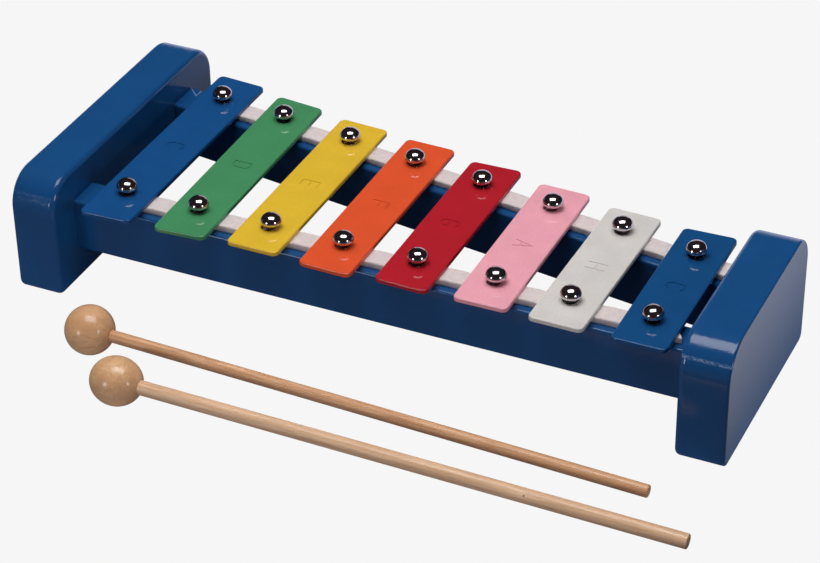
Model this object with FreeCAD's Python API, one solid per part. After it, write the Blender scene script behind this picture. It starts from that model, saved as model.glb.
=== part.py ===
import FreeCAD, Part
import math
import os

# Eight-bar toy xylophone on a painted wooden frame, with two wooden mallets.
# Millimetres. +X runs from the long low bar to the short high bar, +Y to the back, +Z up.
# The frame is laid out with x = 0 at the middle of its length, y = 0 at the front faces of
# its end blocks and z = 0 on the ground; the whole set is then centred on the origin.

# End blocks: boards on edge across the two ends of the frame
BLOCK_THICK = 20.0
BLOCK_HEIGHT = 51.5
BLOCK_DEPTH_LEFT = 132.5
BLOCK_DEPTH_RIGHT = 92.5
BLOCK_TOP_RADIUS = 14.0
BLOCK_FOOT_RADIUS = 3.5
BLOCK_EASE = 2.4
# The right-hand block's outer face has been sanded less
BLOCK_EASE_OUTER_RIGHT = 1.0

# Bars: painted steel, all one width and thickness, shorter as the note rises
BAR_NAMES = ["c_low", "d", "e", "f", "g", "a", "h", "c_high"]
BAR_LETTERS = ["C", "D", "E", "F", "G", "A", "H", "C"]
BAR_LENGTHS = [117.0, 109.1, 101.6, 99.9, 93.4, 87.6, 83.1, 81.3]
BAR_WIDTH = 22.0
BAR_THICK = 1.8
BAR_PITCH = 31.75
BAR_CORNER = 2.4
BAR_EASE = 0.6
BAR_HOLE = 6.0
# The holes are punched a little to the left of each bar's middle line
BAR_HOLE_OFFSET = -0.4
BAR_SETBACK = 0.7
GAP_LEFT = 9.9
GAP_RIGHT = 7.1
# Bars are set by hand: each one's middle is a little off its even place along the frame and
# across it, and each is turned a little, in degrees counter-clockwise seen from above
BAR_OFFSETS = [0.0, 0.0, 0.0, 0.2, -0.2, 0.2, -0.3, 0.2]
BAR_SLIDES = [-0.1, -0.3, 0.25, -0.15, 0.5, 0.45, -0.3, 1.1]
BAR_TURNS = [-0.3, 0.4, -0.4, -0.3, -0.2, 0.1, -0.8, 0.1]
# Their ends are sheared off by hand too: degrees off square, positive where the bar's
# right-hand side is the longer one
BAR_CUTS = {
    "front": [-3.0, -3.0, 0.0, 1.0, 1.5, -0.5, -0.5, 0.0],
    "rear": [-4.5, -7.0, -3.0, -1.5, 2.0, -2.0, -1.0, 2.0],
}

# Rails: the front board runs straight, the rear one closes in on it towards the high bar
RAIL_THICK = 16.0
RAIL_HEIGHT = 22.5
RAIL_BOTTOM = 14.7
RAIL_FRONT = 23.25
RAIL_REAR_LEFT = 106.9
RAIL_REAR_RIGHT = 68.0
RAIL_HOUSING = 6.0
RAIL_EASE = 1.2

# Felt strips glued along the tops of the rails
FELT_WIDTH = 9.0
FELT_THICK = 2.7
FELT_HOLE = 6.5
FELT_START = 5.0
FELT_STOPS = {"front": 5.5, "rear": 1.5}

# Domed pins that hold the bars down, their heads well clear of the bars
PIN_SHANK = 3.0
PIN_HEAD = 8.5
PIN_RIM = 0.4
PIN_CHAMFER = 0.2
PIN_DOME = 4.1
PIN_PLAY = 1.8
PIN_DEPTH = 16.0
PIN_POINT = 3.0
# How far along the rail each pin is driven in from the middle of its bar
PIN_OFFSETS = {
    "front": [-0.4, 0.4, 0.8, 0.5, 0.0, 0.2, 0.0, 0.2],
    "rear": [0.1, -0.5, 0.3, 0.4, 0.0, 0.5, -0.4, 0.0],
}

# Note letters stamped into the middle of each bar
LETTER_HEIGHT = 7.5
LETTER_WIDTH = 4.2
LETTER_STROKE = 0.5
LETTER_DEPTH = 0.2

# Mallets: turned wooden balls on dowels, lying on the ground in front of the frame. Each
# ball's two radii are the one along its stick and the one across it; BALL_FLAT is how much
# of it is faced off round the stick.
BALL_FLAT = 0.6
STICK_SOCKET = 11.0
STICK_EASE = 0.6
MALLETS = {
    "mallet_a": {
        "ball": (-100.6, -27.3),
        "radii": (10.0, 10.0),
        "heading": 0.4,
        "reach": 231.5,
        "stick": 5.0,
    },
    "mallet_b": {
        "ball": (-74.4, -52.3),
        "radii": (10.6, 9.7),
        "heading": 1.3,
        "reach": 228.1,
        "stick": 5.8,
    },
}

# Heights and places worked out from the dimensions above
RAIL_TOP = RAIL_BOTTOM + RAIL_HEIGHT
BAR_UNDER = RAIL_TOP + FELT_THICK
BAR_TOP = BAR_UNDER + BAR_THICK
BAR_ROW = BAR_PITCH * (len(BAR_NAMES) - 1)
INNER_HALF = (BAR_ROW + BAR_WIDTH + GAP_LEFT + GAP_RIGHT) / 2
OUTER_HALF = INNER_HALF + BLOCK_THICK
RAIL_SLOPES = {"front": 0.0, "rear": (RAIL_REAR_RIGHT - RAIL_REAR_LEFT) / (2 * INNER_HALF)}


def rail_y(side, x):
    """Middle line of the front or rear rail at x."""
    if side == "front":
        return RAIL_FRONT
    return RAIL_REAR_LEFT + RAIL_SLOPES[side] * (x + INNER_HALF)


def bar_x(index):
    """Middle of a bar along the frame."""
    return -INNER_HALF + GAP_LEFT + BAR_WIDTH / 2 + index * BAR_PITCH + BAR_OFFSETS[index]


def bar_y(index):
    """Middle of a bar across the frame, a little in front of the middle of its two rails."""
    x = bar_x(index)
    return (rail_y("front", x) + rail_y("rear", x)) / 2 - BAR_SETBACK + BAR_SLIDES[index]


def hole_place(side, index):
    """Where a bar's middle line, turned with the bar, crosses a rail's middle line."""
    x = bar_x(index)
    along = rail_y(side, x) - bar_y(index)
    x -= along * math.tan(math.radians(BAR_TURNS[index]))
    return x, rail_y(side, x)


def pin_place(side, index):
    """Where a pin is driven in, near the middle line of its bar."""
    x = hole_place(side, index)[0] + PIN_OFFSETS[side][index]
    return x, rail_y(side, x)


def strip(side, start, stop, width, bottom, height):
    """Straight strip on a rail's middle line, its ends square to the frame."""
    half = width / 2 * math.hypot(1, RAIL_SLOPES[side])
    corners = []
    for x, offset in ((start, -half), (stop, -half), (stop, half), (start, half)):
        corners.append(FreeCAD.Vector(x, rail_y(side, x) + offset, bottom))
    base = Part.Face(Part.makePolygon(corners + corners[:1]))
    return base.extrude(FreeCAD.Vector(0, 0, height))


def edges_along(shape, axis, tolerance=1e-3):
    """Straight edges of a shape that run parallel to an axis."""
    found = []
    for edge in shape.Edges:
        if edge.Curve.TypeId != "Part::GeomLine":
            continue
        if abs(abs(edge.Curve.Direction.dot(axis)) - 1) < tolerance:
            found.append(edge)
    return found


def end_block(x_start, depth, eases):
    """Board on edge: big round-overs on its top corners, small ones at the foot, eased faces.

    eases are the small radii round its left and its right face.
    """
    size = FreeCAD.Vector(BLOCK_THICK, depth, BLOCK_HEIGHT)
    corner = FreeCAD.Vector(x_start, 0, 0)
    block = Part.makeBox(size.x, size.y, size.z, corner)
    across = edges_along(block, FreeCAD.Vector(1, 0, 0))
    top = [edge for edge in across if edge.CenterOfMass.z > BLOCK_HEIGHT / 2]
    block = block.makeFillet(BLOCK_TOP_RADIUS, top)
    across = edges_along(block, FreeCAD.Vector(1, 0, 0))
    foot = [edge for edge in across if edge.CenterOfMass.z < 1e-3]
    block = block.makeFillet(BLOCK_FOOT_RADIUS, foot)
    for x_face, ease in zip((x_start, x_start + BLOCK_THICK), eases):
        outline = [face for face in block.Faces if abs(face.CenterOfMass.x - x_face) < 1e-6]
        block = block.makeFillet(ease, outline[0].Edges)
    return block


def rail_blank(side):
    """Rail from housing to housing, before it is drilled."""
    reach = INNER_HALF + RAIL_HOUSING
    rail = strip(side, -reach, reach, RAIL_THICK, RAIL_BOTTOM, RAIL_HEIGHT)
    length = FreeCAD.Vector(1, RAIL_SLOPES[side], 0).normalize()
    return rail.makeFillet(RAIL_EASE, edges_along(rail, length))


def felt(side):
    """Flat felt strip on a rail, under all the bars, punched with a wide hole round each pin."""
    start = bar_x(0) - BAR_WIDTH / 2 + FELT_START
    blank = strip(side, start, INNER_HALF - FELT_STOPS[side], FELT_WIDTH, RAIL_TOP, FELT_THICK)
    punches = []
    for index in range(len(BAR_NAMES)):
        centre = FreeCAD.Vector(*pin_place(side, index), RAIL_TOP)
        punches.append(Part.makeCylinder(FELT_HOLE / 2, FELT_THICK, centre))
    return blank.cut(punches)


def pin(x, y):
    """Pin turned about its own axis: pointed shank, flat underside, thin rim and domed head."""
    under = BAR_TOP + PIN_PLAY
    foot = RAIL_TOP - PIN_DEPTH
    shank = PIN_SHANK / 2
    head = PIN_HEAD / 2
    rim_top = under + PIN_RIM
    crown = rim_top + PIN_DOME
    # The dome is an arc from the rim to the crown; its radius follows from its height
    radius = (head ** 2 + PIN_DOME ** 2) / (2 * PIN_DOME)
    middle = crown - radius
    lift = math.asin((rim_top - middle) / radius)
    turn = (lift + math.pi / 2) / 2
    on_dome = FreeCAD.Vector(radius * math.cos(turn), 0, middle + radius * math.sin(turn))
    points = [
        FreeCAD.Vector(0, 0, foot - PIN_POINT),
        FreeCAD.Vector(shank, 0, foot),
        FreeCAD.Vector(shank, 0, under),
        FreeCAD.Vector(head - PIN_CHAMFER, 0, under),
        FreeCAD.Vector(head, 0, under + PIN_CHAMFER),
        FreeCAD.Vector(head, 0, rim_top),
    ]
    top = FreeCAD.Vector(0, 0, crown)
    edges = [Part.makeLine(a, b) for a, b in zip(points, points[1:])]
    edges.append(Part.Arc(points[-1], on_dome, top).toShape())
    edges.append(Part.makeLine(top, points[0]))
    profile = Part.Face(Part.Wire(edges))
    turned = profile.revolve(FreeCAD.Vector(0, 0, 0), FreeCAD.Vector(0, 0, 1), 360)
    turned.translate(FreeCAD.Vector(x, y, 0))
    return turned


def stroke_line(start, end, caps=(True, True)):
    """Straight stroke of a stamped letter; an end that runs on into a bend has no round cap."""
    radius = LETTER_STROKE / 2
    a = FreeCAD.Vector(start[0], start[1], 0)
    b = FreeCAD.Vector(end[0], end[1], 0)
    along = b - a
    side = FreeCAD.Vector(-along.y, along.x, 0).normalize() * radius
    corners = [a + side, b + side, b - side, a - side]
    slot = Part.Face(Part.makePolygon(corners + corners[:1]))
    slot = slot.extrude(FreeCAD.Vector(0, 0, LETTER_DEPTH))
    for point, capped in zip((a, b), caps):
        if capped:
            slot = slot.fuse(Part.makeCylinder(radius, LETTER_DEPTH, point))
    return slot


def stroke_arc(centre, radius, start, sweep):
    """Curved stroke of a stamped letter, angles in degrees counted from the letter's right."""
    middle = FreeCAD.Vector(centre[0], centre[1], 0)
    up = FreeCAD.Vector(0, 0, 1)
    half = LETTER_STROKE / 2
    outer = Part.makeCylinder(radius + half, LETTER_DEPTH, middle, up, sweep)
    inner = Part.makeCylinder(radius - half, LETTER_DEPTH, middle, up)
    band = outer.cut(inner)
    band.rotate(middle, up, start)
    return band


def letter_strokes(letter):
    """Strokes of a letter in a box whose lower left corner is at 0, 0."""
    high = LETTER_HEIGHT
    wide = LETTER_WIDTH
    bend = wide / 2
    stem = stroke_line((0, 0), (0, high))
    if letter in "CG":
        strokes = [
            stroke_arc((bend, high - bend), bend, 20, 160),
            stroke_line((0, bend), (0, high - bend), (False, False)),
            stroke_arc((bend, bend), bend, 180, 160 if letter == "C" else 180),
        ]
        if letter == "G":
            strokes.append(stroke_line((wide, bend), (wide, high * 0.46), (False, True)))
            strokes.append(stroke_line((wide, high * 0.46), (bend, high * 0.46)))
        return strokes
    if letter == "D":
        return [
            stem,
            stroke_line((0, high), (bend, high), (True, False)),
            stroke_arc((bend, high - bend), bend, 0, 90),
            stroke_line((wide, bend), (wide, high - bend), (False, False)),
            stroke_arc((bend, bend), bend, 270, 90),
            stroke_line((0, 0), (bend, 0), (True, False)),
        ]
    if letter in "EF":
        strokes = [stem, stroke_line((0, high), (wide, high))]
        strokes.append(stroke_line((0, high / 2), (wide * 0.85, high / 2)))
        if letter == "E":
            strokes.append(stroke_line((0, 0), (wide, 0)))
        return strokes
    if letter == "A":
        return [
            stroke_line((0, 0), (bend, high)),
            stroke_line((bend, high), (wide, 0)),
            stroke_line((bend * 0.36, high * 0.36), (wide - bend * 0.36, high * 0.36)),
        ]
    return [
        stem,
        stroke_line((wide, 0), (wide, high)),
        stroke_line((0, high / 2), (wide, high / 2)),
    ]


def stamp(letter, x, y):
    """Cutting tool for a letter whose head points along +X and that reads towards the front."""
    strokes = letter_strokes(letter)
    tool = strokes[0].multiFuse(strokes[1:])
    tool.translate(FreeCAD.Vector(-LETTER_WIDTH / 2, -LETTER_HEIGHT / 2, 0))
    tool.rotate(FreeCAD.Vector(0, 0, 0), FreeCAD.Vector(0, 0, 1), -90)
    tool.translate(FreeCAD.Vector(x, y, BAR_TOP - LETTER_DEPTH))
    return tool


def bar(index):
    """Flat bar with round corners, eased upper edge, two wide holes for its pins and its letter."""
    x = bar_x(index)
    y = bar_y(index)
    half_width = BAR_WIDTH / 2
    half_length = BAR_LENGTHS[index] / 2
    front_skew = half_width * math.tan(math.radians(BAR_CUTS["front"][index]))
    rear_skew = half_width * math.tan(math.radians(BAR_CUTS["rear"][index]))
    corners = [
        FreeCAD.Vector(x - half_width, y - half_length + front_skew, BAR_UNDER),
        FreeCAD.Vector(x + half_width, y - half_length - front_skew, BAR_UNDER),
        FreeCAD.Vector(x + half_width, y + half_length + rear_skew, BAR_UNDER),
        FreeCAD.Vector(x - half_width, y + half_length - rear_skew, BAR_UNDER),
    ]
    blank = Part.Face(Part.makePolygon(corners + corners[:1]))
    blank = blank.extrude(FreeCAD.Vector(0, 0, BAR_THICK))
    blank = blank.makeFillet(BAR_CORNER, edges_along(blank, FreeCAD.Vector(0, 0, 1)))
    top = [face for face in blank.Faces if face.CenterOfMass.z > BAR_TOP - 1e-6][0]
    blank = blank.makeFillet(BAR_EASE, top.Edges)
    blank = blank.cut(stamp(BAR_LETTERS[index], x, y))
    blank.rotate(FreeCAD.Vector(x, y, 0), FreeCAD.Vector(0, 0, 1), BAR_TURNS[index])
    for side in ("front", "rear"):
        centre = FreeCAD.Vector(*hole_place(side, index), BAR_UNDER)
        centre.x += BAR_HOLE_OFFSET
        blank = blank.cut(Part.makeCylinder(BAR_HOLE / 2, BAR_THICK, centre))
    return blank


def mallet(plan):
    """Ball and stick of one mallet, lying on the ground on its ball and its stick's far end."""
    stick_radius = plan["stick"] / 2
    reach = plan["reach"]
    length, girth = plan["radii"]
    # Tilt that brings the lower edge of the stick's far end down to the ground
    span = math.hypot(reach - STICK_EASE, stick_radius)
    dip = math.asin(girth / span) - math.atan(stick_radius / (reach - STICK_EASE))
    rest = math.hypot(length * math.sin(dip), girth * math.cos(dip))

    # Modelled along +X from the ball's centre, then tipped, turned and moved into place
    along = FreeCAD.Vector(1, 0, 0)
    centre = FreeCAD.Vector(0, 0, 0)
    flat = length - BALL_FLAT
    socket_end = length - STICK_SOCKET
    start = math.acos(flat / length)
    oval = Part.Ellipse(along * length, FreeCAD.Vector(0, 0, girth), centre)
    points = [
        FreeCAD.Vector(flat, 0, girth * math.sin(start)),
        FreeCAD.Vector(flat, 0, stick_radius),
        FreeCAD.Vector(socket_end, 0, stick_radius),
        FreeCAD.Vector(socket_end, 0, 0),
        along * -length,
    ]
    edges = [Part.ArcOfEllipse(oval, start, math.pi).toShape()]
    edges += [Part.makeLine(a, b) for a, b in zip(points, points[1:])]
    profile = Part.Face(Part.Wire(Part.sortEdges(edges)[0]))
    ball = profile.revolve(centre, along, 360)
    socket = FreeCAD.Vector(socket_end, 0, 0)
    stick = Part.makeCylinder(stick_radius, reach - socket_end, socket, along)
    far = [edge for edge in stick.Edges if edge.CenterOfMass.x > reach - 1e-3]
    stick = stick.makeFillet(STICK_EASE, far)
    place = FreeCAD.Vector(plan["ball"][0], plan["ball"][1], rest)
    for piece in (ball, stick):
        piece.rotate(centre, FreeCAD.Vector(0, 1, 0), math.degrees(dip))
        piece.rotate(centre, FreeCAD.Vector(0, 0, 1), plan["heading"])
        piece.translate(place)
    return ball, stick


def frame_pieces():
    """End blocks, rails, felts and pins, each cut to receive its neighbours."""
    pieces = {}
    blanks = {side: rail_blank(side) for side in ("front", "rear")}
    housings = list(blanks.values())
    left = end_block(-OUTER_HALF, BLOCK_DEPTH_LEFT, (BLOCK_EASE, BLOCK_EASE))
    right = end_block(INNER_HALF, BLOCK_DEPTH_RIGHT, (BLOCK_EASE, BLOCK_EASE_OUTER_RIGHT))
    pieces["end_block_left"] = left.cut(housings)
    pieces["end_block_right"] = right.cut(housings)
    for side, blank in blanks.items():
        pins = []
        for index in range(len(BAR_NAMES)):
            pins.append(pin(*pin_place(side, index)))
            pieces["pin_%s_%d" % (side, index + 1)] = pins[-1]
        pieces["rail_" + side] = blank.cut(pins)
        pieces["felt_" + side] = felt(side)
    return pieces


def build():
    """All the pieces, with the middle of the set's footprint on the origin."""
    pieces = frame_pieces()
    for index, name in enumerate(BAR_NAMES):
        pieces["bar_" + name] = bar(index)
    for name, plan in MALLETS.items():
        pieces[name + "_ball"], pieces[name + "_stick"] = mallet(plan)
    box = Part.makeCompound(list(pieces.values())).optimalBoundingBox(False)
    shift = FreeCAD.Vector(-box.Center.x, -box.Center.y, 0)
    for shape in pieces.values():
        shape.translate(shift)
    return pieces


os.makedirs("parts", exist_ok=True)
for node, shape in build().items():
    shape.exportStep("parts/" + node + ".step")
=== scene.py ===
import math
import random

import bmesh
import bpy
from mathutils import Euler, Matrix, Vector, noise


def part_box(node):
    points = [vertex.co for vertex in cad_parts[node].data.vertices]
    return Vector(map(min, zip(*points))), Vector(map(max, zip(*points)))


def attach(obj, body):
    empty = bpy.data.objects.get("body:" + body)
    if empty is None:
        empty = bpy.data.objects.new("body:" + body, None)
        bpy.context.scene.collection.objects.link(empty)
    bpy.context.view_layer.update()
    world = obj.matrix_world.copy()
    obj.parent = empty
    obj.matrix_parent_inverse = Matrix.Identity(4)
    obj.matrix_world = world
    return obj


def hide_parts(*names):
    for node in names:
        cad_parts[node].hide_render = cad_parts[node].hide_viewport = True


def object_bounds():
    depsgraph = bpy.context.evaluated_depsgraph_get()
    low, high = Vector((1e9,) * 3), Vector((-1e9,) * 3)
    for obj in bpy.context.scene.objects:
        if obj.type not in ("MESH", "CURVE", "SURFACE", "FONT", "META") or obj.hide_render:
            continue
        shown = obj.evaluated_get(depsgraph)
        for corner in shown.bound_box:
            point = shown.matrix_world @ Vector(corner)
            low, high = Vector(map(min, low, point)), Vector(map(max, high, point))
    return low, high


# Looks of the toy xylophone: glossy painted frame, enamelled bars, felt, chrome pins and
# turned wooden mallets, on a plain pale floor under soft studio light. Lengths are in metres, named
# angles in degrees and noise scales in waves per metre.

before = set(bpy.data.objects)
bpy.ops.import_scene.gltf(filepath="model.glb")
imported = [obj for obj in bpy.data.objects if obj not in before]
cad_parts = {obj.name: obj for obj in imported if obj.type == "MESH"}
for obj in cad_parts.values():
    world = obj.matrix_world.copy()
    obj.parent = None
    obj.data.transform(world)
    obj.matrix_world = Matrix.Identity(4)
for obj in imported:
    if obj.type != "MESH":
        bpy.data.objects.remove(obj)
CAD_LOW, CAD_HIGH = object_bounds()
MM = 0.001
BARS = ["c_low", "d", "e", "f", "g", "a", "h", "c_high"]
SIDES = ["front", "rear"]
MALLETS = ["mallet_a", "mallet_b"]

# Camera: where it looks, from which side and how far away, and its lens and sensor in millimetres
CAMERA_AIM = Vector((0.0077, -0.00225, 0.025))
CAMERA_AZIMUTH = 25.115
CAMERA_ELEVATION = 33.958
CAMERA_ROLL = -0.870
CAMERA_DISTANCE = 1.03445
CAMERA_LENS = 116.705
CAMERA_SENSOR = 36.0
CAMERA_CLIP = (0.01, 200.0)

# Colours from 0 to 255, as seen under white light
FRAME_BLUE = (23, 76, 130)
# Pale blue of the specks on the boards' edges: chipped paint, and painted glints where edges catch
# light
EDGE_CHIP_GLINT_BLUE = (96, 122, 158)
# Pale blue of the painted glint line on the end blocks' front round-over
GLINT_LINE_BLUE = (150, 172, 205)
# Pale blue of thin streaks on the frame, lighter than its paint
PALE_STREAK_BLUE = (122, 146, 186)
BAR_COLOURS = {
    "c_low": (23, 79, 136),
    "d": (71, 144, 96),
    "e": (229, 188, 55),
    "f": (229, 88, 48),
    "g": (181, 33, 45),
    "a": (242, 168, 183),
    "h": (216, 212, 208),
    "c_high": (22, 77, 129),
}
BARE_STEEL = (120, 118, 118)
FELT_WHITE = (226, 213, 212)
SPECK_BROWN = (70, 44, 26)

# The woods' pale and dark grain
BALL_WOOD = ((240, 193, 146), (212, 160, 115))
STICK_A_WOOD = ((236, 186, 142), (196, 140, 96))
STICK_B_WOOD = ((246, 205, 167), (212, 167, 129))

# Plating where it is bright and where it is hazed, as parts of the light given back
CHROME_BRIGHT = (0.66, 0.60, 0.62, 1)
CHROME_HAZED = (0.56, 0.50, 0.52, 1)


def linear(colour):
    """Linear colour from the 0 to 255 values of a paint chart."""
    parts = []
    for value in colour:
        value /= 255
        parts.append(value / 12.92 if value <= 0.04045 else ((value + 0.055) / 1.055) ** 2.4)
    return (*parts, 1.0)


def scaled(colour, factor):
    """A linear colour made lighter or darker."""
    return (*(min(1.0, part * factor) for part in colour[:3]), 1.0)


# ---------------------------------------------------------------- node helpers


# How far a piece's surface turns from its rounded shape at the start and the middle of an edge
EDGE_COSINES = (0.995, 0.93)


class Shader:
    """A material under construction, with short calls for its nodes."""

    def __init__(self, name):
        self.material = bpy.data.materials.new(name)
        self.material.use_nodes = True
        self.tree = self.material.node_tree
        self.bsdf = self.tree.nodes["Principled BSDF"]
        self.place = self.node("ShaderNodeTexCoord").outputs["Object"]

    def feed(self, socket, value):
        """Links another node's output to a socket, or sets the socket to a plain value."""
        if isinstance(value, bpy.types.NodeSocket):
            self.tree.links.new(value, socket)
        else:
            socket.default_value = value

    def node(self, kind, **inputs):
        """Adds a node; keyword names with _ stand for the socket names with spaces."""
        made = self.tree.nodes.new(kind)
        for key, value in inputs.items():
            self.feed(made.inputs[key.replace("_", " ")], value)
        return made

    def coords(self, stretch=(1, 1, 1), shift=(0, 0, 0), turn=(0, 0, 0)):
        """Object coordinates, turned and then stretched so that a pattern can run along a piece."""
        place = self.place
        if any(turn):
            turned = self.node("ShaderNodeMapping", Vector=place)
            turned.inputs["Rotation"].default_value = [math.radians(angle) for angle in turn]
            place = turned.outputs["Vector"]
        mapping = self.node("ShaderNodeMapping", Vector=place, Scale=stretch, Location=shift)
        return mapping.outputs["Vector"]

    def noise(self, vector, scale, detail=2.0, roughness=0.5, distortion=0.0):
        """Cloudy values about one half."""
        made = self.node("ShaderNodeTexNoise", Vector=vector, Scale=scale, Detail=detail,
                         Roughness=roughness, Distortion=distortion)
        return made.outputs["Fac"]

    def span(self, value, from_min, from_max, to_min, to_max):
        """Maps one range of values onto another, clamped."""
        made = self.node("ShaderNodeMapRange", Value=value, From_Min=from_min, From_Max=from_max,
                         To_Min=to_min, To_Max=to_max)
        return made.outputs["Result"]

    def math(self, operation, first, second=0.0, third=0.0):
        """Arithmetic on plain values."""
        made = self.tree.nodes.new("ShaderNodeMath")
        made.operation = operation
        for socket, value in zip(made.inputs, (first, second, third)):
            self.feed(socket, value)
        return made.outputs["Value"]

    def mix(self, factor, first, second):
        """Blends two colours."""
        made = self.tree.nodes.new("ShaderNodeMix")
        made.data_type = "RGBA"
        self.feed(made.inputs["Factor"], factor)
        # The colour sockets share their names with the number and vector ones
        self.feed(made.inputs[6], first)
        self.feed(made.inputs[7], second)
        return made.outputs[2]

    def bump(self, height, distance, strength, normal=None):
        """Relief of the given height in metres, added to another relief if there is one."""
        made = self.node("ShaderNodeBump", Height=height, Distance=distance, Strength=strength)
        if normal is not None:
            self.feed(made.inputs["Normal"], normal)
        return made.outputs["Normal"]

    def edges(self, radius):
        """1 near the piece's edges and 0 away from them."""
        rounded = self.node("ShaderNodeBevel", Radius=radius)
        rounded.samples = 6
        flat = self.node("ShaderNodeNewGeometry").outputs["Normal"]
        match = self.vector("DOT_PRODUCT", rounded.outputs["Normal"], flat, result="Value")
        return self.span(match, *EDGE_COSINES, 0.0, 1.0)

    def vector(self, operation, first, second, result="Vector"):
        """Arithmetic on two vectors, each a link or three numbers."""
        made = self.tree.nodes.new("ShaderNodeVectorMath")
        made.operation = operation
        for socket, value in zip(made.inputs, (first, second)):
            self.feed(socket, value)
        return made.outputs[result]

    def line_mark(self, start, end, width):
        """1 on a straight line mark between two points and 0 away from it."""
        run = Vector(end) - Vector(start)
        away = self.vector("SUBTRACT", self.place, start)
        along = self.vector("DOT_PRODUCT", away, run / run.length_squared, result="Value")
        foot = self.vector("MULTIPLY", self.span(along, 0, 1, 0, 1), run)
        gap = self.vector("DISTANCE", away, foot, result="Value")
        return self.span(gap, 0.4 * width, width, 1, 0)

    def set(self, **inputs):
        """Sets or links inputs of the surface shader."""
        for key, value in inputs.items():
            self.feed(self.bsdf.inputs[key.replace("_", " ")], value)


def dress(obj, material):
    """Puts one material on every face of a piece."""
    obj.data.materials.clear()
    obj.data.materials.append(material)


# ------------------------------------------------------------------- materials

# The painted glint line on the end blocks, pale specks standing for light caught on the round-over:
# its depth below their tops, how far it wanders, the half widths between which it fades, and how far
# back from their fronts it fades out
GLINT_DROP = 6.3 * MM
GLINT_WANDER = 0.9 * MM
GLINT_FADE = (0.25 * MM, 0.75 * MM)
GLINT_REACH = (5.25 * MM, 6.25 * MM)


def painted_glint_line(s, wide, strength):
    """Share of painted glint along the front round-over of an end block."""
    block_low, block_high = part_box("end_block_left")
    axes = s.node("ShaderNodeSeparateXYZ", Vector=s.place)
    wander = s.math("MULTIPLY_ADD", s.noise(wide, 90), GLINT_WANDER, axes.outputs["Z"])
    off_line = s.math("ABSOLUTE", s.math("SUBTRACT", wander, block_high.z - GLINT_DROP))
    line = s.math("SUBTRACT", 1.0, s.span(off_line, *GLINT_FADE, 0, 1))
    near, far = (block_low.y + reach for reach in GLINT_REACH)
    front = s.span(axes.outputs["Y"], near, far, 1, 0)
    specks = s.span(s.noise(s.coords(stretch=(0.6, 1, 1)), 1700, detail=2), 0.44, 0.60, 0.15, 1)
    return s.math("MULTIPLY", s.math("MULTIPLY", line, front), s.math("MULTIPLY", specks, strength))


def frame_paint(name, grain, seed, glint, slant, pale_streaks):
    """Thick gloss enamel on a board, with the wood's grain showing faintly through it.

    glint is the strength of the painted glint line, pale specks standing for light caught where
    the front round-over meets the front face; slant is how far the grain climbs along the board, in
    degrees; pale_streaks are (start, end, width, strength) each.
    """
    s = Shader(name)
    base = linear(FRAME_BLUE)
    wide = s.coords(shift=(seed, 0, 0))
    along = s.coords(stretch=grain, shift=(0, seed, 0), turn=(slant, 0, 0))
    patches = s.noise(wide, 38, detail=3)
    streaks = s.noise(along, 420, detail=4, roughness=0.6)
    colour = s.mix(s.span(patches, 0.3, 0.7, 0, 1), scaled(base, 0.94), scaled(base, 1.06))
    colour = s.mix(s.span(streaks, 0.35, 0.65, 0.0, 0.10), colour, scaled(base, 0.72))
    # Pale blue specks along the edges: partly chipped paint, partly painted glints where the edges
    # catch light
    chip_glint_spots = s.span(s.noise(wide, 520, detail=4), 0.60, 0.70, 0, 1)
    chips_and_glints = s.math("MULTIPLY", s.edges(0.9 * MM), chip_glint_spots)
    colour = s.mix(s.math("MULTIPLY", chips_and_glints, 0.30), colour, linear(EDGE_CHIP_GLINT_BLUE))
    # Painted highlight: a line of pale specks where the front round-over catches the light
    if glint:
        colour = s.mix(painted_glint_line(s, wide, glint), colour, linear(GLINT_LINE_BLUE))
    # Thin pale blue streaks, lighter than the paint
    for start, end, width, strength in pale_streaks:
        share = s.math("MULTIPLY", s.line_mark(start, end, width), strength)
        colour = s.mix(share, colour, linear(PALE_STREAK_BLUE))
    peel = s.noise(wide, 520, detail=2)
    dust = s.span(s.noise(wide, 1500, detail=1), 0.74, 0.80, 0, 1)
    rough = s.span(s.noise(wide, 260, detail=3), 0.3, 0.7, 0.10, 0.17)
    normal = s.bump(streaks, 0.10 * MM, 0.6)
    normal = s.bump(peel, 0.07 * MM, 0.6, normal)
    normal = s.bump(dust, 0.05 * MM, 0.8, normal)
    s.set(Base_Color=colour, Roughness=rough, Normal=normal, IOR=1.5)
    return s.material


def bar_paint(name, colour, seed):
    """Enamel baked on steel: fine flecks and orange peel, and thin, nicked edges."""
    s = Shader(name)
    base = linear(colour)
    wide = s.coords(shift=(0, seed, 0))
    patches = s.noise(wide, 90, detail=3)
    fleck = s.noise(wide, 1150, detail=3, roughness=0.75)
    tone = s.mix(s.span(patches, 0.3, 0.7, 0, 1), scaled(base, 0.95), scaled(base, 1.05))
    tone = s.mix(s.span(fleck, 0.38, 0.62, 0.0, 0.36), tone, scaled(base, 0.80))
    edge = s.edges(0.35 * MM)
    tone = s.mix(s.math("MULTIPLY", edge, 0.35), tone, scaled(base, 0.60))
    nicks = s.math("MULTIPLY", edge, s.span(s.noise(wide, 700, detail=4), 0.66, 0.70, 0, 1))
    tone = s.mix(s.math("MULTIPLY", nicks, 0.5), tone, linear(BARE_STEEL))
    peel = s.noise(wide, 620, detail=2)
    rough = s.span(s.noise(wide, 300, detail=3), 0.3, 0.7, 0.06, 0.10)
    normal = s.bump(peel, 0.025 * MM, 0.5)
    normal = s.bump(fleck, 0.008 * MM, 0.5, normal)
    s.set(Base_Color=tone, Roughness=rough, Normal=normal, IOR=1.5)
    return s.material


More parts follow.
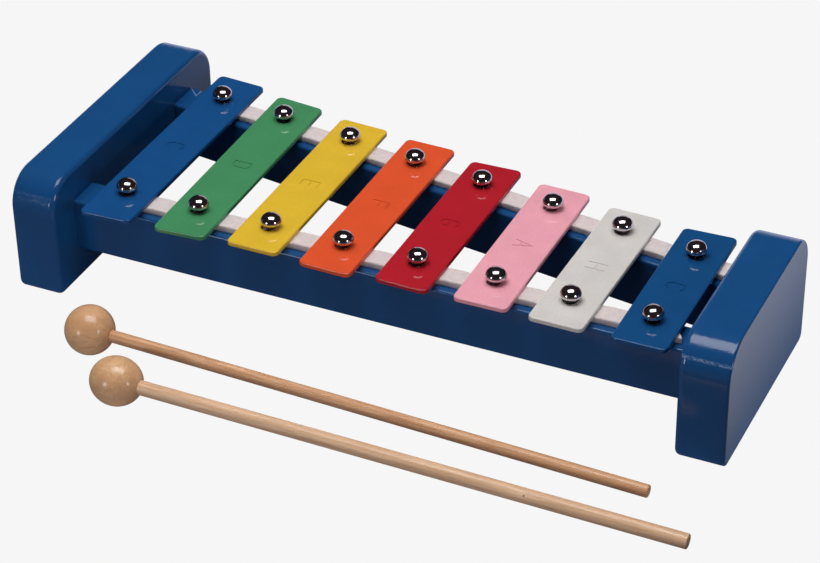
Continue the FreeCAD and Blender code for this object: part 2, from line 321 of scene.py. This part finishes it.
def chrome():
    """Bright plating with a faint haze and hairlines."""
    s = Shader("pin_chrome")
    wide = s.coords()
    haze = s.noise(wide, 700, detail=4)
    rough = s.span(haze, 0.3, 0.7, 0.09, 0.15)
    tint = s.mix(s.span(haze, 0.4, 0.7, 0, 1), CHROME_BRIGHT, CHROME_HAZED)
    hairlines = s.noise(s.coords(stretch=(1, 1, 12)), 500, detail=3)
    normal = s.bump(hairlines, 0.004 * MM, 0.5)
    s.set(Base_Color=tint, Metallic=1.0, Roughness=rough, Normal=normal)
    return s.material


def felt_cloth():
    """Pressed wool felt: matted fibres, with painted shade making it slightly grey in the hollows."""
    s = Shader("felt")
    wide = s.coords()
    base = linear(FELT_WHITE)
    clumps = s.noise(wide, 450, detail=4, roughness=0.6)
    fibres = s.noise(s.coords(stretch=(1, 3.5, 1), turn=(0, 0, 35)), 1500, detail=5, roughness=0.7)
    crossing = s.noise(s.coords(stretch=(3.5, 1, 1), turn=(0, 0, 20)), 1300, detail=5, roughness=0.7)
    mat = s.math("MAXIMUM", fibres, crossing)
    colour = s.mix(s.span(clumps, 0.3, 0.7, 0, 1), scaled(base, 0.88), scaled(base, 1.04))
    # Painted shade: grey where the fibre relief is low, in the hollows between fibres
    colour = s.mix(s.span(mat, 0.45, 0.62, 0.35, 0.0), colour, scaled(base, 0.62))
    normal = s.bump(clumps, 0.25 * MM, 0.6)
    normal = s.bump(mat, 0.12 * MM, 0.8, normal)
    s.set(Base_Color=colour, Roughness=0.95, Normal=normal, Sheen_Weight=0.35, Sheen_Roughness=0.5,
          Specular_IOR_Level=0.2)
    return s.material


def turned_wood(name, turn, seed):
    """Clear-lacquered wooden ball: soft broad grain running through it and fine darker pores."""
    s = Shader(name)
    pale, dark = (linear(colour) for colour in BALL_WOOD)
    place = s.coords(shift=(seed, seed * 0.7, 0), turn=turn)
    fibre = s.coords(stretch=(0.12, 1, 1), shift=(seed, 0, seed), turn=turn)
    broad = s.noise(fibre, 150, detail=3, distortion=0.5)
    layers = s.math("PINGPONG", s.math("MULTIPLY_ADD", broad, 9.0, s.noise(fibre, 420)), 0.5)
    fine = s.noise(fibre, 900, detail=4, roughness=0.6)
    cloud = s.noise(place, 70, detail=2)
    pores = s.noise(s.coords(stretch=(0.06, 1, 1), turn=turn), 2200, detail=3, roughness=0.7)
    colour = s.mix(s.span(broad, 0.3, 0.7, 0, 1), pale, dark)
    colour = s.mix(s.span(layers, 0.28, 0.50, 0, 0.85), colour, scaled(dark, 0.94))
    colour = s.mix(s.span(fine, 0.35, 0.65, 0, 0.4), colour, dark)
    colour = s.mix(s.span(cloud, 0.35, 0.65, 0, 0.3), colour, scaled(dark, 0.92))
    colour = s.mix(s.span(pores, 0.58, 0.70, 0, 0.22), colour, scaled(dark, 0.62))
    rough = s.span(fine, 0.3, 0.7, 0.30, 0.40)
    normal = s.bump(fine, 0.05 * MM, 0.5)
    normal = s.bump(pores, 0.02 * MM, 0.5, normal)
    s.set(Base_Color=colour, Roughness=rough, Normal=normal, Coat_Weight=0.60, Coat_Roughness=0.15)
    return s.material


def stick_wood(name, wood, seed, speck=None):
    """Dowel wood with the grain running along the stick and a thin lacquer.

    speck is the place of a small dark fleck.
    """
    s = Shader(name)
    pale, dark = (linear(colour) for colour in wood)
    along = s.coords(stretch=(0.025, 1, 1), shift=(seed, 0, seed))
    grain = s.noise(along, 900, detail=5, roughness=0.65, distortion=0.3)
    broad = s.noise(s.coords(stretch=(0.08, 1, 1), shift=(0, seed, 0)), 220, detail=3)
    pores = s.noise(s.coords(stretch=(0.10, 1, 1), shift=(0, 0, seed)), 2600, detail=3, roughness=0.7)
    colour = s.mix(s.span(grain, 0.35, 0.65, 0, 1), pale, dark)
    colour = s.mix(s.span(broad, 0.35, 0.7, 0, 0.45), colour, scaled(dark, 0.92))
    colour = s.mix(s.span(pores, 0.6, 0.7, 0, 0.4), colour, scaled(dark, 0.6))
    if speck is not None:
        gap = s.vector("DISTANCE", s.place, speck, result="Value")
        spot = s.span(gap, 0.25 * MM, 0.60 * MM, 0.60, 0.0)
        colour = s.mix(spot, colour, linear(SPECK_BROWN))
    rough = s.span(grain, 0.3, 0.7, 0.32, 0.50)
    normal = s.bump(pores, 0.05 * MM, 0.6)
    normal = s.bump(grain, 0.05 * MM, 0.5, normal)
    s.set(Base_Color=colour, Roughness=rough, Normal=normal, Coat_Weight=0.3, Coat_Roughness=0.25)
    return s.material


# ------------------------------------------------------------ making of pieces


def new_piece(name, mesh, body, replaced):
    """Adds a mesh as a piece that rides on a body and stands for a CAD node."""
    obj = bpy.data.objects.new(name, mesh)
    bpy.context.scene.collection.objects.link(obj)
    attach(obj, body)
    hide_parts(replaced)
    return obj


def lathe(name, profile, turns):
    """Closed surface turned about Z in that many steps, from (radius, height) points.

    The points start and end on the axis.
    """
    mesh = bpy.data.meshes.new(name)
    bm = bmesh.new()
    rings = []
    for radius, height in profile:
        if radius == 0:
            rings.append([bm.verts.new((0, 0, height))])
            continue
        ring = []
        for step in range(turns):
            angle = 2 * math.pi * step / turns
            ring.append(bm.verts.new((radius * math.cos(angle), radius * math.sin(angle), height)))
        rings.append(ring)
    for low, high in zip(rings, rings[1:]):
        for step in range(turns):
            after = (step + 1) % turns
            if len(low) == 1:
                bm.faces.new((low[0], high[after], high[step]))
            elif len(high) == 1:
                bm.faces.new((low[step], low[after], high[0]))
            else:
                bm.faces.new((low[step], low[after], high[after], high[step]))
    bmesh.ops.recalc_face_normals(bm, faces=bm.faces)
    for face in bm.faces:
        face.smooth = True
    bm.to_mesh(mesh)
    bm.free()
    return mesh


def arc_points(centre, radius, start, stop, steps):
    """Points of an arc in the (radius, height) plane, angles in degrees from the outward axis."""
    points = []
    for step in range(steps + 1):
        angle = math.radians(start + (stop - start) * step / steps)
        points.append((centre[0] + radius * math.cos(angle), centre[1] + radius * math.sin(angle)))
    return points


# ------------------------------------------------------------------------ pins

# The shank's thickness, its point's length, and the radius of the hollow under the head
PIN_SHANK = 3.0 * MM
PIN_POINT = 3.0 * MM
PIN_NECK = 0.35 * MM
# Below the crown: the widest part of the head, and its underside
PIN_WAIST = 3.6 * MM
PIN_UNDER = 4.4 * MM
# How far the head draws in from its widest part to its underside
PIN_TUCK = 1.4 * MM
# The dome's section is a superellipse with this power
PIN_FULLNESS = 2.05
PIN_DOME_STEPS = 25
PIN_LIP_STEPS = 12
PIN_TURNS = 56
# The most that a pin leans about X and about Y
PIN_LEAN = 0.75


def pin_mesh(height, head):
    """Domed pin with its crown at the top of the CAD pin and its point at z = 0."""
    shank = PIN_SHANK / 2
    rim = head / 2
    waist = height - PIN_WAIST
    under = height - PIN_UNDER
    neck = under - PIN_NECK
    profile = [(0, 0), (shank / 2, PIN_POINT / 2), (shank, PIN_POINT), (shank, neck)]
    profile += arc_points((shank + PIN_NECK, neck), PIN_NECK, 180, 90, 4)[1:]
    for step in range(PIN_LIP_STEPS + 1):
        angle = math.radians(90 * step / PIN_LIP_STEPS)
        profile.append((rim - PIN_TUCK * (1 - math.sin(angle)),
                        waist - (waist - under) * math.cos(angle)))
    for step in range(1, PIN_DOME_STEPS):
        angle = math.radians(90 * step / PIN_DOME_STEPS)
        across = math.cos(angle) ** (2 / PIN_FULLNESS)
        up = math.sin(angle) ** (2 / PIN_FULLNESS)
        profile.append((rim * across, waist + PIN_WAIST * up))
    profile.append((0, height))
    return lathe("pin", profile, PIN_TURNS)


def make_pins():
    """Sixteen chrome pins, each leaning a little its own way."""
    material = chrome()
    draw = random.Random(7)
    low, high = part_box("pin_front_1")
    mesh = pin_mesh(high.z - low.z, high.x - low.x)
    mesh.materials.append(material)
    for side in SIDES:
        for number in range(1, 9):
            node = "pin_%s_%d" % (side, number)
            low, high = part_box(node)
            pin = new_piece("domed_" + node, mesh, "frame", node)
            foot = Vector(((low.x + high.x) / 2, (low.y + high.y) / 2, low.z))
            lean = Euler((math.radians(draw.uniform(-PIN_LEAN, PIN_LEAN)),
                          math.radians(draw.uniform(-PIN_LEAN, PIN_LEAN)),
                          draw.uniform(0, 2 * math.pi)))
            pin.matrix_world = Matrix.Translation(foot) @ lean.to_matrix().to_4x4()


# ------------------------------------------------------------------------ felt

FELT_VOXEL = 0.45 * MM
# How far the felt swells up between the bars, over what distance, and how far they press it in
FELT_SWELL = 0.22 * MM
FELT_SHOULDER = 2.0 * MM
FELT_PRESS = 0.05 * MM
# Lumps on the top, and the waver of the sides, as waves per metre and height
FELT_LUMPS = ((900, 0.07 * MM), (260, 0.06 * MM))
FELT_WAVER = (320, 0.12 * MM)
# The front strip's right end is cut on a slant: where the cut's pull starts beyond the middle of
# the last bar, how far it reaches past the CAD strip at the front, and its slope
FELT_CUT_FROM = 5.0 * MM
FELT_CUT_REACH = 0.7 * MM
FELT_CUT_SLOPE = 0.64


def bar_edges():
    """Where the bars lie along the frame, as (left, right) pairs."""
    return [(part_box("bar_" + name)[0].x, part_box("bar_" + name)[1].x) for name in BARS]


def make_felt(side, material):
    """Felt strip with soft edges, pressed in under the bars and swelling up between them."""
    node = "felt_" + side
    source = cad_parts[node]
    mesh = source.data.copy()
    mesh.name = "felt_strip_" + side
    low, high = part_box(node)
    strip = new_piece("felt_strip_" + side, mesh, "frame", node)
    remesh = strip.modifiers.new("fine", "REMESH")
    remesh.mode = "VOXEL"
    remesh.voxel_size = FELT_VOXEL
    graph = bpy.context.evaluated_depsgraph_get()
    fine = bpy.data.meshes.new_from_object(strip.evaluated_get(graph))
    strip.modifiers.clear()
    strip.data = fine
    spans = bar_edges()
    last = (spans[-1][0] + spans[-1][1]) / 2 + FELT_CUT_FROM
    for vertex in fine.vertices:
        place = vertex.co
        if side == "front" and place.x > last:
            end = high.x + FELT_CUT_REACH - FELT_CUT_SLOPE * (place.y - low.y)
            place.x = last + (place.x - last) * (end - last) / (high.x - last)
        rise = (place.z - low.z) / (high.z - low.z)
        gap = min(max(left - place.x, place.x - right) for left, right in spans)
        if gap > 0:
            lumps = sum(noise.noise(place * waves) * size for waves, size in FELT_LUMPS)
            lift = FELT_SWELL * min(1.0, gap / FELT_SHOULDER) + lumps
        else:
            lift = -FELT_PRESS
        place.z += lift * rise
        place.y += noise.noise(place * FELT_WAVER[0]) * FELT_WAVER[1]
    for polygon in fine.polygons:
        polygon.use_smooth = True
    fine.materials.clear()
    fine.materials.append(material)


# --------------------------------------------------------------------- mallets

# The dark speck on stick b, in parts of the stick's box
SPECK_PLACE = (0.731, 0.397, 0.511)


def dress_mallets():
    """Lacquered wood on the mallets' balls and sticks."""
    low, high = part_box("mallet_b_stick")
    speck = [start + part * (end - start) for start, end, part in zip(low, high, SPECK_PLACE)]
    materials = {
        "mallet_a_ball": turned_wood("ball_a_wood", (0, 10, -14), 0.31),
        "mallet_b_ball": turned_wood("ball_b_wood", (25, 0, 72), 0.57),
        "mallet_a_stick": stick_wood("stick_a_wood", STICK_A_WOOD, 0.21),
        "mallet_b_stick": stick_wood("stick_b_wood", STICK_B_WOOD, 0.83, speck),
    }
    for node, material in materials.items():
        dress(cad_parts[node], material)


# -------------------------------------------------------------- frame and bars

# Stretches of the grain along a board
ALONG_X = (0.05, 1, 1)
ALONG_Y = (1, 0.06, 1)
# Each board's grain, the strength of its painted glint line and the slant of its grain
BOARDS = {
    "end_block_left": (ALONG_Y, 0.12, 0.0),
    "end_block_right": (ALONG_Y, 0.55, -12.0),
    "rail_front": (ALONG_X, 0.0, 0.0),
    "rail_rear": (ALONG_X, 0.0, 0.0),
}
PALE_STREAK_WIDTH = 0.35 * MM
TICK_WIDTH = 0.45 * MM


def frame_pale_streaks():
    """Pale blue streaks by node: where the rear rail meets the left block, and on that block's top
    edge.
    """
    block_low, block_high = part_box("end_block_left")
    rail_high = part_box("rail_rear")[1]
    corner = Vector((block_high.x, rail_high.y, rail_high.z))
    foot = corner + Vector((0.0, -2.0, 0.0)) * MM
    crook = corner + Vector((5.0, -7.0, 0.0)) * MM
    tick = Vector((block_high.x, block_low.y, block_high.z)) + Vector((-0.6, 57.25, 0.0)) * MM
    return {
        "end_block_left": [
            (foot, foot + Vector((0.0, -2.5, 4.6)) * MM, PALE_STREAK_WIDTH, 0.45),
            (tick, tick + Vector((0.0, 2.5, 0.0)) * MM, TICK_WIDTH, 0.60),
        ],
        "rail_rear": [
            (foot, crook, PALE_STREAK_WIDTH, 0.85),
            (crook, crook + Vector((0.2, 4.8, 0.0)) * MM, PALE_STREAK_WIDTH, 0.85),
        ],
    }


def dress_frame():
    """Blue paint on the boards, with its grain along each board."""
    pale_streaks = frame_pale_streaks()
    for number, (node, (grain, glint, slant)) in enumerate(BOARDS.items()):
        paint = frame_paint("paint_" + node, grain, 0.17 * number + 0.05, glint, slant,
                            pale_streaks.get(node, ()))
        dress(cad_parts[node], paint)


def dress_bars():
    """Each bar's enamel."""
    for number, name in enumerate(BARS):
        material = bar_paint("enamel_" + name, BAR_COLOURS[name], 0.13 * number)
        dress(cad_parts["bar_" + name], material)


# ---------------------------------------------------------------- studio setup


def emitter(name, colour, strength):
    """A glowing material for the stage."""
    material = bpy.data.materials.new(name)
    material.use_nodes = True
    nodes = material.node_tree.nodes
    nodes.clear()
    out = nodes.new("ShaderNodeOutputMaterial")
    glow = nodes.new("ShaderNodeEmission")
    glow.inputs["Color"].default_value = (*colour, 1)
    glow.inputs["Strength"].default_value = strength
    material.node_tree.links.new(glow.outputs["Emission"], out.inputs["Surface"])
    return material


def seen_by(obj, camera=False, diffuse=False, glossy=False):
    """Chooses which rays see a stage object; none of them casts a shadow."""
    obj.visible_camera = camera
    obj.visible_diffuse = diffuse
    obj.visible_glossy = glossy
    obj.visible_transmission = camera
    obj.visible_shadow = False


def stage_quad(name, corners, material):
    """A flat stage card from its corners."""
    mesh = bpy.data.meshes.new(name)
    mesh.from_pydata([tuple(corner) for corner in corners], [], [(0, 1, 2, 3)])
    mesh.materials.append(material)
    obj = bpy.data.objects.new(name, mesh)
    bpy.context.scene.collection.objects.link(obj)
    return obj


# Brightness of the floor and the surround, half the floor's side, and the surround's radius
PALE = 0.922
FLOOR_HALF = 14.0
SURROUND_RADIUS = 0.95 * FLOOR_HALF


def make_floor():
    """Pale floor and surround without shadows."""
    half = FLOOR_HALF
    corners = ((-half, -half, 0), (half, -half, 0), (half, half, 0), (-half, half, 0))
    floor = stage_quad("floor", corners, emitter("floor_pale", (PALE, PALE, PALE), 1.0))
    seen_by(floor, camera=True)
    mesh = bpy.data.meshes.new("surround")
    bm = bmesh.new()
    bmesh.ops.create_icosphere(bm, subdivisions=3, radius=SURROUND_RADIUS)
    bm.to_mesh(mesh)
    bm.free()
    mesh.materials.append(emitter("surround_pale", (PALE, PALE, PALE), 1.0))
    surround = bpy.data.objects.new("surround", mesh)
    bpy.context.scene.collection.objects.link(surround)
    seen_by(surround, camera=True)


# Papers and cards that only reflections or bounced light see: how far below the floor they lie,
# how far they reach to the left and the front, to the back, and to the right past the right block
CARD_DEPTH = 2.0 * MM
CARD_NEAR = -1.2
CARD_FAR = 1.3
CARD_RIGHT = 1.4
PAPER_TINT = (1.0, 0.99, 1.10)
# Upright paper behind the object, from its left foot to its right foot
WALL_LEFT = (-0.62, 0.995)
WALL_RIGHT = (0.12, 1.34)
WALL_HEIGHT = 0.5
# The sticks' thicknesses, and the depth and half the width of the shade under each
STICK_DEPTHS = {"mallet_a": 5.0 * MM, "mallet_b": 5.8 * MM}
SHADE_DEPTH = 1.0 * MM
SHADE_HALF = 7.0 * MM


def graded(name, axis, start, stop, low, high, tint):
    """A glow that changes along one axis of the stage."""
    material = emitter(name, tint, 1.0)
    tree = material.node_tree
    place = tree.nodes.new("ShaderNodeTexCoord")
    split = tree.nodes.new("ShaderNodeSeparateXYZ")
    ramp = tree.nodes.new("ShaderNodeMapRange")
    tree.links.new(place.outputs["Object"], split.inputs["Vector"])
    tree.links.new(split.outputs[axis], ramp.inputs["Value"])
    for key, number in zip(("From Min", "From Max", "To Min", "To Max"), (start, stop, low, high)):
        ramp.inputs[key].default_value = number
    tree.links.new(ramp.outputs["Result"], tree.nodes["Emission"].inputs["Strength"])
    return material


def card(name, x_span, y_span, material, **rays):
    """A level stage card just under the floor, seen only by the rays that are named."""
    height = -CARD_DEPTH
    (left, right), (near, far) = x_span, y_span
    corners = ((left, near, height), (right, near, height),
               (right, far, height), (left, far, height))
    seen_by(stage_quad(name, corners, material), **rays)


def shade_sticks():
    """Dim strips under the mallets' sticks, in place of the shade that they lie in."""
    shade = emitter("stick_shade", (1.0, 0.8, 0.7), 0.04)
    for mallet in MALLETS:
        low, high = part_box(mallet + "_stick")
        margin = STICK_DEPTHS[mallet] / 2
        start = Vector((low.x, low.y + margin, -SHADE_DEPTH))
        end = Vector((high.x, high.y - margin, -SHADE_DEPTH))
        side = Vector((0, SHADE_HALF, 0))
        corners = (start - side, end - side, end + side, start + side)
        seen_by(stage_quad("shade_" + mallet, corners, shade), diffuse=True)


def make_cards():
    """What the floor gives back: its glow on the undersides and its image in the gloss."""
    block_low, block_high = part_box("end_block_right")
    edge, front = block_high.x, block_low.y
    back = CAD_HIGH.y + 5 * MM
    table = emitter("table_bounce", (0.97, 0.98, 1.06), 0.56)
    card("table_bounce", (CARD_NEAR, edge), (CARD_NEAR, front + 10 * MM), table, diffuse=True)
    shade_sticks()
    side = emitter("side_bounce", (1.0, 1.0, 1.0), 1.15)
    card("side_bounce", (edge, edge + 0.30), (front, 0.9), side, diffuse=True)
    # Painted shadow: dimmer next to the right block, where the block shades the floor seen in its
    # reflections
    paper = graded("paper_right", "X", edge, edge + 42 * MM, 0.14, 0.90, PAPER_TINT)
    card("paper_right", (edge, edge + CARD_RIGHT), (front, CARD_FAR), paper, glossy=True)
    # Painted shadow: dimmer just behind the frame, where the object shades the floor seen in
    # reflections
    paper = graded("paper_behind", "Y", back, back + 0.25, 0.22, 0.9, (0.92, 1.0, 1.35))
    card("paper_behind", (CARD_NEAR, edge), (back, CARD_FAR), paper, glossy=True)
    apron = emitter("table_front", (1.0, 0.9, 0.95), 0.10)
    card("table_front", (CARD_NEAR, edge + CARD_RIGHT), (CARD_NEAR, front), apron, glossy=True)
    wall = graded("paper_wall", "Z", 0.0, WALL_HEIGHT, 0.85, 0.20, (1.0, 0.94, 1.02))
    corners = ((*WALL_LEFT, 0), (*WALL_RIGHT, 0),
               (*WALL_RIGHT, WALL_HEIGHT), (*WALL_LEFT, WALL_HEIGHT))
    seen_by(stage_quad("paper_wall", corners, wall), glossy=True)


def aim(obj, place, target):
    """Puts an object somewhere and turns its -Z to a target."""
    obj.location = place
    obj.rotation_mode = "QUATERNION"
    obj.rotation_quaternion = (Vector(target) - Vector(place)).to_track_quat("-Z", "Y")


def area_light(name, place, target, size, radiance, glossy=True):
    """Rectangular area light of the given radiance, from one place towards another."""
    data = bpy.data.lights.new(name, "AREA")
    data.shape = "RECTANGLE"
    data.size, data.size_y = size
    data.energy = radiance * math.pi * size[0] * size[1]
    obj = bpy.data.objects.new(name, data)
    bpy.context.scene.collection.objects.link(obj)
    aim(obj, place, target)
    obj.visible_camera = False
    obj.visible_glossy = glossy
    return obj


LIGHTS_AIM = Vector((0, 0, 45 * MM))
# The softbox hangs level: its height over the aim, and its width and near and far edges in parts of
# that height
SOFTBOX_HEIGHT = 0.8
SOFTBOX_WIDE = 0.84
SOFTBOX_DEEP = (-0.17, 0.32)
SOFTBOX_RADIANCE = 4.6
# The lamps' directions, distance, size and radiance
LAMPS = {"lamp_left": (-0.416, -0.897, 0.154), "lamp_right": (0.894, -0.36, 0.266)}
LAMP_DISTANCE = 1.3
LAMP_SIZE = (0.20, 0.30)
LAMP_RADIANCE = 9.0
# The fill lights, which reflections don't see: place from the aim, size and radiance
FILLS = {
    "fill_behind": (Vector((-0.42, 0.88, 0.13)) * 1.2, (1.0, 0.25), 3.0),
    "fill_above": (Vector((-0.34, 0.25, 1.15)), (1.5, 1.5), 1.40),
}
WORLD_TINT = (1.0, 0.76, 0.88, 1)
WORLD_STRENGTH = 0.020


def make_lights():
    """Overhead softbox, a lamp on either side of the camera, and fill that leaves no gloss."""
    turn = math.radians(CAMERA_AZIMUTH)
    toward = Vector((math.sin(turn), -math.cos(turn), 0))
    near, far = SOFTBOX_DEEP
    centre = LIGHTS_AIM + toward * SOFTBOX_HEIGHT * (near + far) / 2
    centre.z += SOFTBOX_HEIGHT
    size = (SOFTBOX_WIDE * SOFTBOX_HEIGHT, (far - near) * SOFTBOX_HEIGHT)
    softbox = area_light("softbox", centre, LIGHTS_AIM, size, SOFTBOX_RADIANCE)
    softbox.rotation_quaternion = Euler((0, 0, turn)).to_quaternion()
    for name, direction in LAMPS.items():
        place = LIGHTS_AIM + Vector(direction) * LAMP_DISTANCE
        area_light(name, place, LIGHTS_AIM, LAMP_SIZE, LAMP_RADIANCE)
    for name, (offset, size, radiance) in FILLS.items():
        area_light(name, LIGHTS_AIM + offset, LIGHTS_AIM, size, radiance, glossy=False)
    world = bpy.data.worlds.new("studio")
    world.use_nodes = True
    background = world.node_tree.nodes["Background"]
    background.inputs["Color"].default_value = WORLD_TINT
    background.inputs["Strength"].default_value = WORLD_STRENGTH
    bpy.context.scene.world = world


def make_camera():
    """Camera at the chosen side, height and distance, rolled a little."""
    data = bpy.data.cameras.new("camera")
    data.sensor_width = CAMERA_SENSOR
    data.lens = CAMERA_LENS
    data.clip_start, data.clip_end = CAMERA_CLIP
    obj = bpy.data.objects.new("camera", data)
    bpy.context.scene.collection.objects.link(obj)
    azimuth, elevation = math.radians(CAMERA_AZIMUTH), math.radians(CAMERA_ELEVATION)
    back = Vector((math.sin(azimuth) * math.cos(elevation),
                   -math.cos(azimuth) * math.cos(elevation), math.sin(elevation)))
    obj.location = CAMERA_AIM + back * CAMERA_DISTANCE
    obj.rotation_mode = "QUATERNION"
    level = (-back).to_track_quat("-Z", "Y")
    roll = Matrix.Rotation(math.radians(CAMERA_ROLL), 4, "Z").to_quaternion()
    obj.rotation_quaternion = level @ roll
    bpy.context.scene.camera = obj
    bpy.context.scene.view_settings.view_transform = "Standard"


make_camera()
make_lights()
make_floor()
make_cards()
dress_frame()
dress_bars()
make_pins()
felt_material = felt_cloth()
for side in SIDES:
    make_felt(side, felt_material)
dress_mallets()

bpy.context.view_layer.update()
